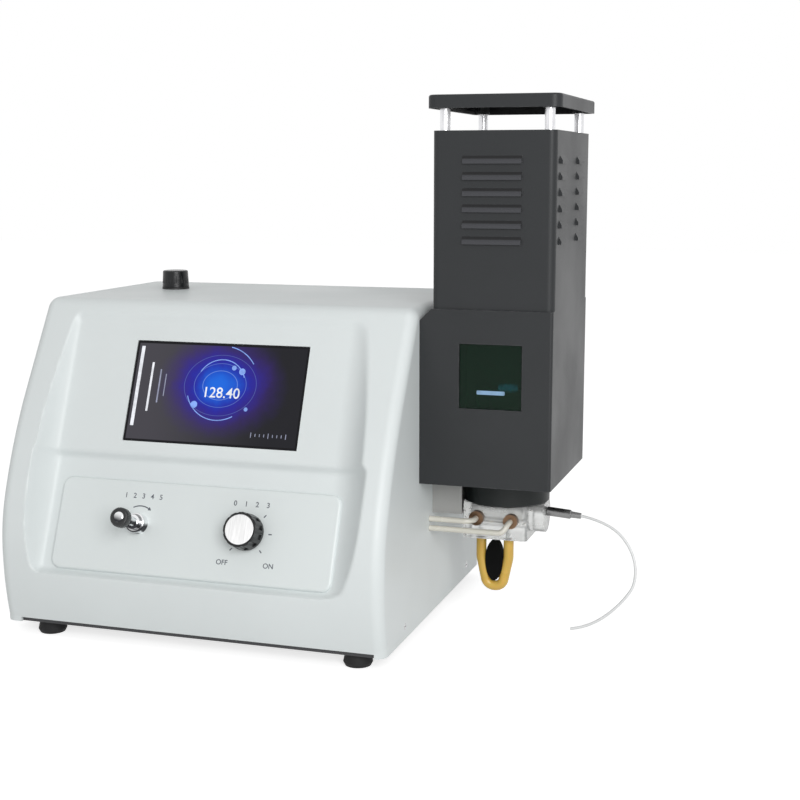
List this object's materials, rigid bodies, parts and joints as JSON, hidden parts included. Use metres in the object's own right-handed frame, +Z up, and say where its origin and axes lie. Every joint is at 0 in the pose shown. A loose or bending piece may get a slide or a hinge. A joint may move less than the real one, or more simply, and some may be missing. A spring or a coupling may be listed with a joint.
{
  "type": "flame photometer",
  "caption": "Bench flame photometer: a curved case with a leaning touch panel and two control knobs, a chimney tower on its side with a burner, a spray chamber and a sample tube.",
  "frame": {"origin": "middle of the instrument's outline seen from above, without the sample tube, at the underside of the feet", "axes": "+Z up, +Y towards the back, +X towards the burner tower's side"},
  "size_m": [0.5335, 0.347, 0.466],
  "materials": {
    "shell_paint": "satin off-white moulding",
    "tray_paint": "dark semi-matt paint",
    "rear_paint": "satin light grey paint",
    "foot_rubber": "matt",
    "screw_steel": "plain",
    "plate_film": "printed film, satin",
    "screen_glass": "gloss, dark",
    "module_metal": "plain",
    "board_green": "solder mask",
    "supply_metal": "plain",
    "black_plastic": "moulded",
    "port_metal": "plated",
    "fitting_brass": "turned",
    "pipe_copper": "drawn",
    "pipe_clear": "satin polymer tube",
    "knob_chrome": "polished",
    "knob_black": "fine texture",
    "knob_cap": "spun",
    "steel_rod": "ground",
    "regulator_alloy": "cast",
    "lead_rubber": "silicone",
    "ceramic": "glazed ceramic",
    "optic_black": "black anodised",
    "clear_glass": "polished",
    "filter_glass": "coloured",
    "diode_metal": "plated",
    "tower_paint": "fine texture dark grey",
    "window_green": "dark green",
    "post_steel": "bright turned",
    "base_black": "black anodised",
    "burner_steel": "turned",
    "bracket_grey": "satin",
    "chamber_clear": "clear polymer, polished",
    "ring_bronze": "dark",
    "neb_metal": "turned",
    "drain_yellow": "soft amber tube",
    "capillary_clear": "clear polymer tube"
  },
  "bodies": {
    "instrument": {"feet": "foot_rubber", "foot_screws": "screw_steel", "base_tray": "tray_paint", "cover_shell": "shell_paint", "rear_panel": "rear_paint", "panel_screws": "screw_steel", "control_plate": "plate_film", "touch_glass": "screen_glass", "display_module": "module_metal", "display_board": "board_green", "power_supply": "supply_metal", "main_board": "board_green", "power_inlet": "black_plastic", "data_port": "port_metal", "hose_barbs": "fitting_brass", "flame_safety_valve": "fitting_brass", "gas_pipes": "pipe_copper", "gas_burner_pipe": "pipe_clear", "air_inlet_pipe": "pipe_clear", "air_burner_pipe": "pipe_clear", "needle_valve_body": "fitting_brass", "panel_nuts": "knob_chrome", "lpg_valve_body": "fitting_brass", "regulator_body": "regulator_alloy", "regulator_ring": "black_plastic", "igniter_module": "black_plastic", "igniter_lead": "lead_rubber", "igniter_electrode": "ceramic", "detector_block": "optic_black", "collector_lens": "clear_glass", "beam_splitter": "clear_glass", "light_filters": "filter_glass", "photodiodes": "diode_metal", "burner_housing": "tower_paint", "window_glass": "window_green", "burner_base": "base_black", "burner_head": "burner_steel", "burner_bracket": "bracket_grey", "mixing_chamber": "chamber_clear", "chamber_fittings": "ring_bronze", "nebuliser": "neb_metal", "drain_tube": "drain_yellow", "drain_former": "black_plastic", "sample_capillary": "capillary_clear"},
    "gas_control": {"gas_knob": "knob_chrome", "gas_spindle": "steel_rod"},
    "needle": {"gas_needle": "steel_rod"},
    "switch_plug": {"lpg_plug": "fitting_brass"},
    "switch_knob": {"lpg_knob": "knob_black", "lpg_knob_cap": "knob_cap", "lpg_stem": "steel_rod"},
    "regulator_spindle": {"regulator_screw": "steel_rod"},
    "regulator_grip": {"regulator_knob": "knob_black"},
    "mains_rocker": {"power_rocker": "black_plastic"},
    "chimney_top": {"chimney": "tower_paint", "chimney_posts": "post_steel", "chimney_cap": "tower_paint", "cap_screws": "screw_steel"}
  },
  "joints": [
    {"name": "gas_turn", "type": "hinge", "parent": "instrument", "child": "gas_control", "pos_m": [-0.11431, -0.13594, 0.10514], "axis": [0, -0.9239, 0.3827], "range_deg": [-540, 540]},
    {"name": "needle_travel", "type": "slide", "parent": "instrument", "child": "needle", "axis": [0, -0.9239, 0.3827], "range_m": [-0.00115, 0.00115]},
    {"name": "switch_turn", "type": "hinge", "parent": "instrument", "child": "switch_plug", "pos_m": [-0.01231, -0.13594, 0.10514], "axis": [0, -0.9239, 0.3827], "range_deg": [-120, 0]},
    {"name": "switch_push", "type": "slide", "parent": "switch_plug", "child": "switch_knob", "axis": [0, -0.9239, 0.3827], "range_m": [-0.003, 0], "stiffness_N_per_m": 1500, "springref_m": 0.001},
    {"name": "air_turn", "type": "hinge", "parent": "instrument", "child": "regulator_spindle", "pos_m": [-0.17031, 0.05749, 0.2905], "axis": [0, 0, 1], "range_deg": [-720, 720]},
    {"name": "air_unlock", "type": "slide", "parent": "regulator_spindle", "child": "regulator_grip", "axis": [0, 0, 1], "range_m": [0, 0.003]},
    {"name": "mains_switch", "type": "hinge", "parent": "instrument", "child": "mains_rocker", "pos_m": [-0.16531, 0.14949, 0.075], "axis": [-1, 0, 0], "range_deg": [0, 20]},
    {"name": "chimney_lift", "type": "slide", "parent": "instrument", "child": "chimney_top", "axis": [0, 0, 1], "range_m": [0, 0.03]}
  ],
  "couplings": [
    {"joint": "needle_travel", "follows": "gas_turn", "m_per_rad": 0.00011937}
  ]
}
